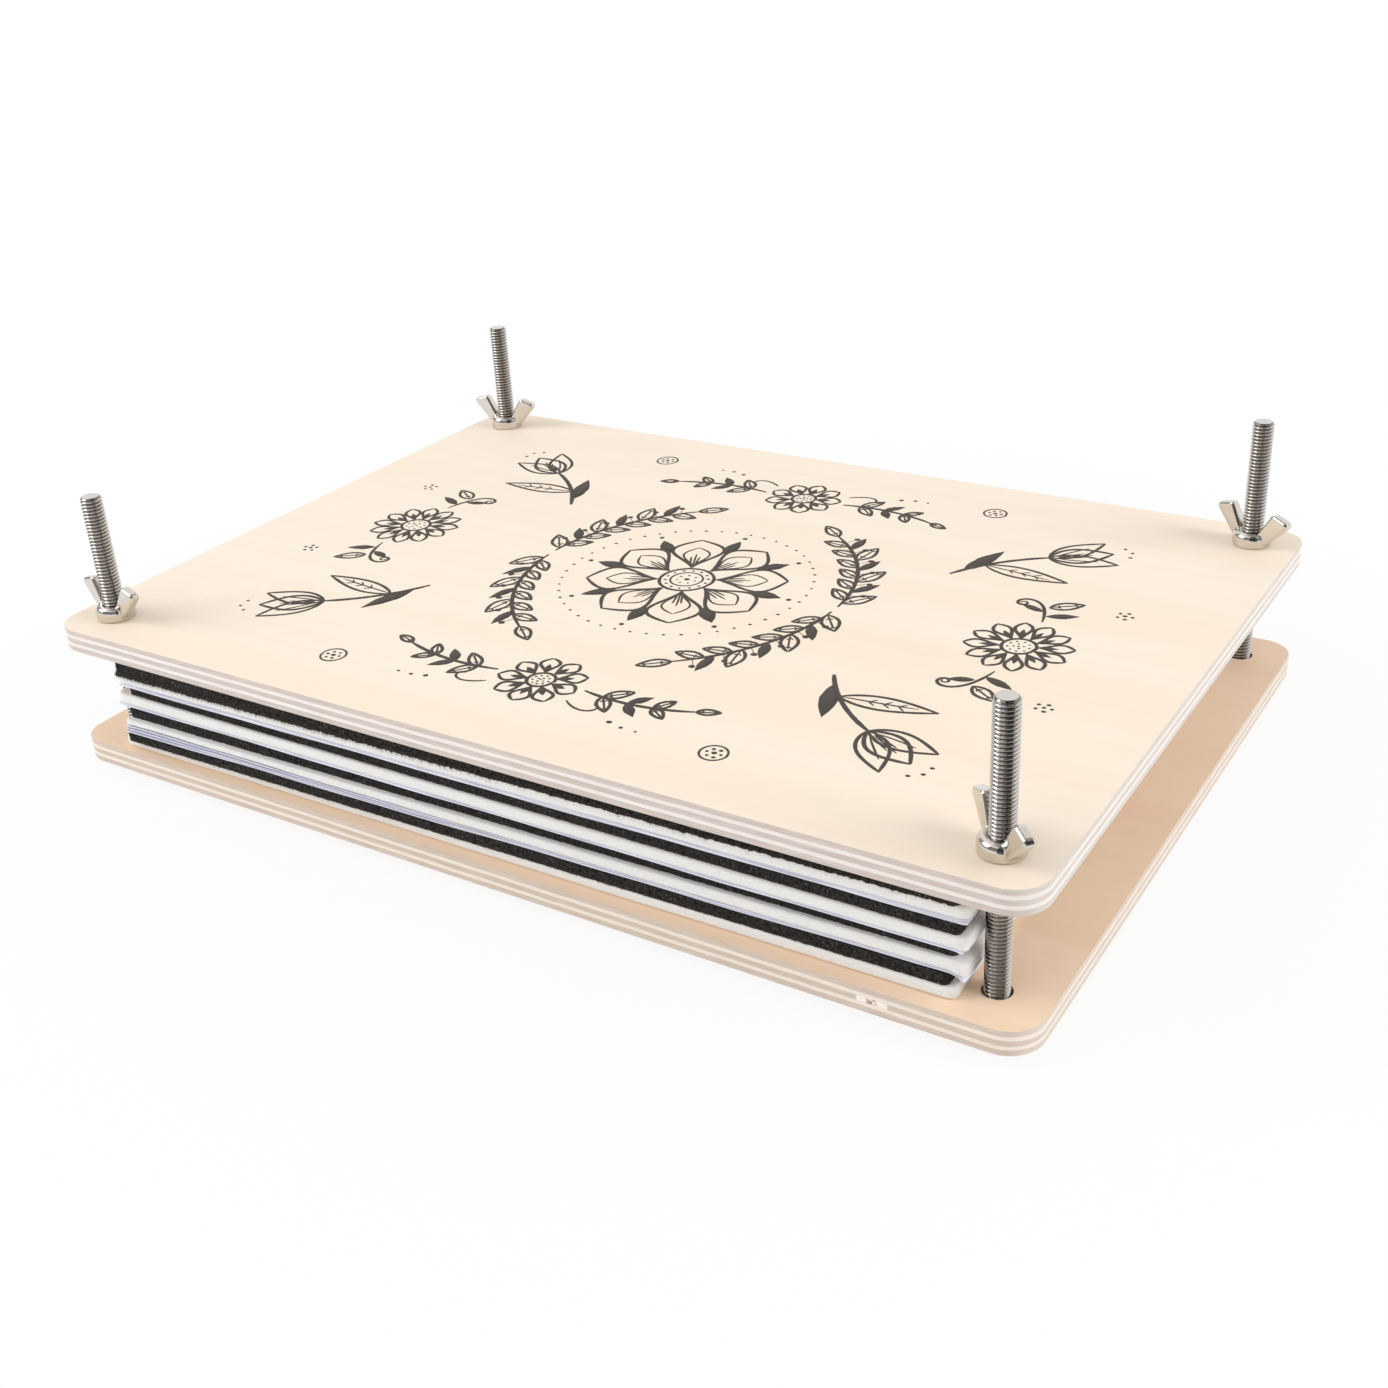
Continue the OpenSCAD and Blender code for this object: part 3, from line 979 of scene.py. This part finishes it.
def make_bundle(number, finish):
    """A bundle of thin sheets, each a little wavy at its rim, that droops past the foam under it."""
    node = BUNDLES[number]
    draw = random.Random(31 + number)
    bm = bmesh.new()
    sheets = sheets_of(node)
    for place, (low, high, points) in enumerate(sheets):
        mesh = slab(evenly(hull_of(points), 1.5 * MM), low, high, rings=1, ease=0.01 * MM,
                    insets=PAPER_INSETS)
        first = len(bm.verts)
        bm.from_mesh(mesh)
        bm.verts.ensure_lookup_table()
        middle = points.mean(0)
        phase = draw.uniform(0, 6.28)
        for v in bm.verts[first:]:
            dx = v.co.x - middle[0]
            dy = v.co.y - middle[1]
            along = 0.12 * MM * math.sin(dx * 60 + phase) + 0.08 * MM * math.sin(dx * 143 + 2 * phase)
            v.co.y += along * (1 if dy < 0 else -1)
            v.co.x += 0.15 * MM * math.sin(dy * 50 + phase) * (-1 if dx > 0 else 1)
            if node == BUNDLES[0]:
                share = place / (len(sheets) - 1)
                v.co.z += opening(v.co.x, v.co.y) * share
                v.co.y -= FAN_REACH * near_rim(v.co.y) * (1 - 0.35 * share)
    mesh = new_mesh(bm, node)
    hang(mesh, SPONGES[number], (LEFT_DROOP, RIGHT_DROOP), number + 1)
    shade(mesh, 40)
    made = piece(node.replace("_", "-") + "-sheets", mesh, finish)
    settle(made, node, node)


# Printed drawing

INK_RISE = 0.03 * MM
INK_SINK = 0.05 * MM
# The lines lie on this many levels, a step apart, so that those that cross don't share a plane
INK_LEVELS = 41
INK_STEP = 0.0005 * MM
# Widths of the pen's lines, how far the hand sways and how its pressure varies
OUTLINE = 0.98
VEIN = 0.58
STEM = 1.2
HAND_SWAY = 0.1
PRESSURE = (0.92, 1.08)
# The whole drawing is spread this much wider than its places say
SPREAD = 1.07
EVERY_QUARTER = ((1, 1), (-1, 1), (1, -1), (-1, -1))
LEFT_AND_RIGHT = ((1, 1), (-1, 1))
FRONT_AND_BACK = ((1, 1), (1, -1))


def ray(angle, length=1.0):
    """A step of some length at an angle in degrees."""
    return cmath.rect(length, math.radians(angle))


def run(start, heading, length, turn=0.0, curl=0.0, count=26):
    """Places along a path that turns steadily, and ever more sharply towards its end."""
    places = [start]
    for k in range(count):
        share = (k + 0.5) / count
        places.append(places[-1] + ray(heading + turn * share + curl * share ** 4, length / count))
    return places


def heading_at(places, k):
    """The angle in degrees at which a path leaves one of its places."""
    return math.degrees(cmath.phase(places[k + 1] - places[k]))


class Drawing:
    """Pen lines. A place is a complex number of millimetres, and each line is drawn at its mirror
    places too, by a hand that is never quite steady."""

    def __init__(self, seed):
        self.lines = []
        self.hand = random.Random(seed)
        self.flips = ((1, 1),)

    def keep(self, places, widths):
        for flip_x, flip_y in self.flips:
            sway = self.hand.uniform(0, 6.28)
            line = []
            for k, (place, width) in enumerate(zip(places, widths)):
                along = 3.0 * k / len(places)
                x = place.real * flip_x * SPREAD + HAND_SWAY * math.sin(along + sway)
                y = place.imag * flip_y * SPREAD + HAND_SWAY * math.cos(along + 2 * sway)
                line.append((x, y, width * self.hand.uniform(*PRESSURE)))
            self.lines.append(line)

    def line(self, places, width, ends=0.35):
        """A line that is thinner at its two ends."""
        last = len(places) - 1
        shares = [min(1.0, ends + 3.5 * min(k, last - k) / last) for k in range(last + 1)]
        self.keep(places, [width * share for share in shares])

    def dot(self, place, radius):
        angles = [math.pi * k / 8 for k in range(9)]
        self.keep([place - radius * math.cos(a) for a in angles],
                  [2 * radius * math.sin(a) + 0.02 for a in angles])

    def ring(self, centre, radius, width, count=36):
        self.keep([centre + ray(360 * k / count, radius) for k in range(count + 1)], [width] * (count + 1))

    def dots(self, centre, radius, size, count, start=0.0):
        for k in range(count):
            self.dot(centre + ray(start + 360 * k / count, radius), size)

    def blade(self, root, heading, length, breadth, width, fullness=1.0):
        """The outline of a petal or leaf with a pointed tip."""
        shares = [k / 14 for k in range(15)]
        for side in (1, -1):
            half = side * breadth / 2
            places = [complex(length * t, half * math.sin(math.pi * t ** fullness)) for t in shares]
            self.line([root + ray(heading) * place for place in places], width, 0.6)

    def solid_leaf(self, root, heading, length, breadth):
        shares = [k / 12 for k in range(13)]
        self.keep([root + ray(heading, length * t) for t in shares],
                  [breadth * math.sin(math.pi * t ** 0.85) + 0.05 for t in shares])

    def leaf(self, root, heading, length, breadth):
        """An open leaf with its midrib and two pairs of side veins."""
        self.blade(root, heading, length, breadth, OUTLINE, 0.85)
        self.line([root + ray(heading, length * 0.85 * k / 8) for k in range(9)], VEIN)
        for share in (0.22, 0.72):
            joint = root + ray(heading, length * share)
            for side in (1, -1):
                vein = run(joint, heading + side * 52, breadth * 0.3, -side * 22, count=5)
                self.line(vein, VEIN * 0.8, 0.3)

    def sprig(self, places, spots, length, breadth):
        """A stem with pairs of leaves at some shares of its length."""
        self.line(places, STEM, 0.5)
        for number, share in enumerate(spots):
            k = int(share * (len(places) - 2))
            heading = heading_at(places, k)
            shrink = 1 - 0.4 * share
            for side in (1, -1):
                if number % 2:
                    self.solid_leaf(places[k], heading + side * 48, length * shrink, breadth * shrink)
                else:
                    self.leaf(places[k], heading + side * 48, length * shrink, breadth * shrink)
        self.leaf(places[-1], heading_at(places, -2), length * 0.7, breadth * 0.7)

    def daisy(self, centre, petals, inner, outer, start=0.0):
        """A flower seen from above."""
        breadth = 2 * math.pi * outer / petals * 0.62
        for k in range(petals):
            heading = start + 360 * k / petals
            root = centre + ray(heading, inner)
            self.blade(root, heading, outer - inner, breadth, OUTLINE, 1.5)
            self.solid_leaf(root + ray(heading, 0.6), heading, (outer - inner) * 0.5, breadth * 0.36)
        self.ring(centre, inner * 0.92, OUTLINE)
        self.dots(centre, inner * 0.58, 0.32, 9)
        self.dots(centre, inner * 0.26, 0.32, 4, 20)
        self.dot(centre, 0.3)

    def rosette(self):
        """The large flower in the middle."""
        for k in range(8):
            heading = 22.5 + 45 * k
            self.blade(ray(heading, 8), heading, 19.5, 14.5, OUTLINE * 1.15, 1.45)
            self.blade(ray(heading, 8.6), heading, 13.5, 7.5, VEIN * 1.1, 1.45)
            for lean in (-5, 0, 5):
                foot = ray(heading + lean * 0.8, 9.4)
                self.line(run(foot, heading + lean, 8 - abs(lean) * 0.35, count=6), VEIN)
            self.solid_leaf(ray(heading + 22.5, 19.5), heading + 22.5, 9.5, 4.4)
            self.dot(ray(heading + 22.5, 31.4), 0.75)
        self.ring(0, 7.4, OUTLINE)
        self.ring(0, 4.4, VEIN)
        self.dots(0, 5.9, 0.4, 14)
        self.dots(0, 2.6, 0.34, 7)
        self.dot(0, 0.7)
        self.dots(0, 34.5, 0.42, 48)

    def laurel(self):
        """A curved branch of leaves at each side of the rosette."""
        for rise in (1, -1):
            stem = [ray(rise * angle, 45 + 0.0012 * angle * angle) for angle in range(2, 63, 3)]
            self.line(stem, STEM, 0.5)
            for number, k in enumerate(range(1, 19, 3)):
                out = heading_at(stem, k)
                if number % 2:
                    self.solid_leaf(stem[k], out - rise * 44, 9.0, 3.2)
                else:
                    self.leaf(stem[k], out - rise * 44, 10.0, 4.4)
                self.leaf(stem[k + 1], out + rise * 44, 8.0, 3.6)
                twig = stem[k + 2]
                self.line([twig, twig + ray(out - rise * 70, 3.0)], VEIN)
                self.dot(twig + ray(out - rise * 70, 3.9), 0.9)
            self.leaf(stem[-1], heading_at(stem, -2), 9.0, 3.8)

    def tulip(self):
        """A tulip that leans towards each corner."""
        stem = run(complex(62, 33), 62, 29, -30)
        self.line(stem, STEM * 1.1, 0.6)
        head = stem[-1]
        up = heading_at(stem, -2)
        for lean in (-24, 24):
            self.blade(head, up + lean, 18.5, 7.4, OUTLINE, 0.8)
            self.line(run(head + ray(up + lean, 3), up + lean, 10, -lean * 0.3, count=8), VEIN)
        self.blade(head, up, 17.5, 9.2, OUTLINE * 1.1, 0.85)
        for lean in (-7, 0, 7):
            self.line(run(head + ray(up + lean, 2.5), up + lean, 9.5 - abs(lean) * 0.3, count=8), VEIN)
        self.solid_leaf(stem[4], up + 40, 17, 4.8)
        foot = stem[10]
        heading = up - 38
        length = 24
        self.blade(foot, heading, length, 6.2, OUTLINE, 0.8)
        self.line(run(foot, heading, length * 0.8, -3, count=10), VEIN)
        for share in (0.3, 0.45, 0.6):
            for side in (1, -1):
                vein = run(foot + ray(heading, length * share), heading + side * 40, 2.4, count=4)
                self.line(vein, VEIN * 0.8, 0.3)
        for side in (-1, 0, 1):
            self.dot(head + ray(up + 8 * side, 22.5 - abs(side)), 0.5)

    def side_flower(self):
        """A daisy at each short side, with a curled tendril above and below it."""
        self.daisy(complex(95, 0), 12, 4.6, 13.5, 15)
        self.flips = EVERY_QUARTER
        self.line(run(complex(95, 15), 100, 26, 40, 520, 44), STEM * 0.8, 0.4)
        self.solid_leaf(complex(94.5, 18.5), 25, 8.5, 3.0)
        self.leaf(complex(93.5, 24), 35, 9, 4)
        self.solid_leaf(complex(92.8, 21), 160, 7, 2.6)
        seed_head = complex(112, 27)
        self.dots(seed_head, 1.9, 0.5, 5)
        self.dot(seed_head, 0.55)

    def end_flower(self):
        """A small flower at the middle of each long side, between two sprigs."""
        self.daisy(complex(0, 66), 9, 3.8, 11.5, 10)
        self.flips = EVERY_QUARTER
        self.sprig(run(complex(13, 66), 12, 30, -34), (0.2, 0.45, 0.7), 8.5, 3.6)
        self.line(run(complex(12, 72), 40, 13, -60, -200, 22), VEIN * 1.3, 0.5)
        seed_head = complex(56, 78)
        self.dots(seed_head, 1.8, 0.45, 6)
        self.ring(seed_head, 3.3, VEIN)
        self.dot(seed_head, 0.6)
        for x, y, radius in ((27, 76.5, 0.7), (31, 77.5, 0.55), (35, 77.5, 0.4)):
            self.dot(complex(x, y), radius)

    def curves(self, top):
        data = bpy.data.curves.new("pen_lines", "CURVE")
        data.dimensions = "3D"
        for line in self.lines:
            spline = data.splines.new("POLY")
            spline.points.add(len(line) - 1)
            for point, (x, y, width) in zip(spline.points, line):
                point.co = (x * MM, y * MM, top, 1)
                point.radius = width / 2 * MM
        return data


def ink_pattern(finish, top):
    """Sweeps a flat ribbon along every pen line, as wide as the line is there."""
    pattern = Pattern("pen_line", {"Top": top, "Rise": INK_RISE, "Sink": INK_SINK, "Step": INK_STEP})
    size = pattern.size
    number = pattern.node("GeometryNodeCurveOfPoint", {}, {}, "Curve Index")
    lift = pattern.math("MODULO", number, INK_LEVELS) * size("Step")
    kept = pattern.node("GeometryNodeStoreNamedAttribute", {"data_type": "FLOAT", "domain": "POINT"},
                        {"Geometry": pattern.geometry, "Name": "lift", "Value": lift})
    flat = pattern.node("GeometryNodeSetCurveNormal", {"mode": "Z_UP"}, {"Curve": kept})
    ribbon = pattern.node("GeometryNodeCurvePrimitiveQuadrilateral", {}, {"Width": 2.0, "Height": 2.0})
    radius = pattern.node("GeometryNodeInputRadius", {}, {})
    swept = pattern.node("GeometryNodeCurveToMesh", {}, {
        "Curve": flat, "Profile Curve": ribbon, "Scale": radius, "Fill Caps": True})
    x, y, z = pattern.axes(pattern.place())
    read = pattern.node("GeometryNodeInputNamedAttribute", {"data_type": "FLOAT"}, {"Name": "lift"})
    above = pattern.math("GREATER_THAN", z, size("Top"))
    thickness = size("Rise") + read + size("Sink")
    height = size("Top") + above * thickness - size("Sink")
    pressed = pattern.node("GeometryNodeSetPosition", {}, {
        "Geometry": swept, "Position": pattern.vector(x, y, height)})
    pattern.finish(pressed, finish)
    return pattern


def make_drawing(finish):
    """The printed flowers on the top board, a layout of its own that mirrors both ways."""
    low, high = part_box("top_board")
    drawing = Drawing(5)
    drawing.rosette()
    for motif, flips in ((drawing.laurel, LEFT_AND_RIGHT), (drawing.tulip, EVERY_QUARTER),
                         (drawing.side_flower, LEFT_AND_RIGHT), (drawing.end_flower, FRONT_AND_BACK)):
        drawing.flips = flips
        motif()
    made = ink_pattern(finish, high.z).make("printed_flowers", drawing.curves(high.z))
    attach(made, "top_board")


make_camera()
make_world(strength=0.6)
make_dark_card()
make_floor(size=4.0, below=0.2 * MM, near_glow=0.9, fade=(0.17, 0.32))
make_lamp("left_lamp", (-1.1, -0.7, 0.9), size=0.9, power=10.0)
make_lamp("right_lamp", (1.25, 0.25, 0.65), size=0.9, power=9.2, mirrored=False)
make_lamp("front_lamp", (-0.35, -1.35, 0.4), size=0.8, power=2.8, mirrored=False)

# A face's pale, darker and rosy tones, and an edge's two tones of dark plies and two of pale ones
board_face = (srgb(253, 239, 221), srgb(248, 227, 201), srgb(251, 231, 212))
board_cut = (srgb(186, 172, 162), srgb(230, 219, 211), srgb(229, 220, 213), srgb(250, 245, 240))
# The base's face tones are darker and warmer than the top's: the same wood with painted shade from the top
# board above it
base_face_with_painted_shade = (srgb(250, 223, 195), srgb(240, 207, 175), srgb(246, 208, 184))
base_cut = (srgb(188, 170, 154), srgb(232, 217, 203), srgb(231, 216, 200), srgb(250, 242, 231))
make_board("top_board", plywood("plywood_top", "top_board", board_face, board_cut))
make_board("base_board", plywood("plywood_base", "base_board", base_face_with_painted_shade, base_cut,
                                 flaw=(107.7 * MM, 115.3 * MM)))
make_bolts(steel("steel_thread", srgb(204, 199, 194), srgb(222, 217, 211), grime_and_shade=0.7))
make_wing_nuts(steel("steel_polished", srgb(208, 202, 194), srgb(228, 222, 213)))
make_felts(soft_pattern("felt_rim", felt(), FELT_SIZES, seed=11))
make_sponges(soft_pattern("foam_rim", foam(), FOAM_SIZES, seed=21))
sheet_finish = paper()
for number in range(len(BUNDLES)):
    make_bundle(number, sheet_finish)
make_drawing(ink())

bpy.context.scene.view_settings.view_transform = "Standard"
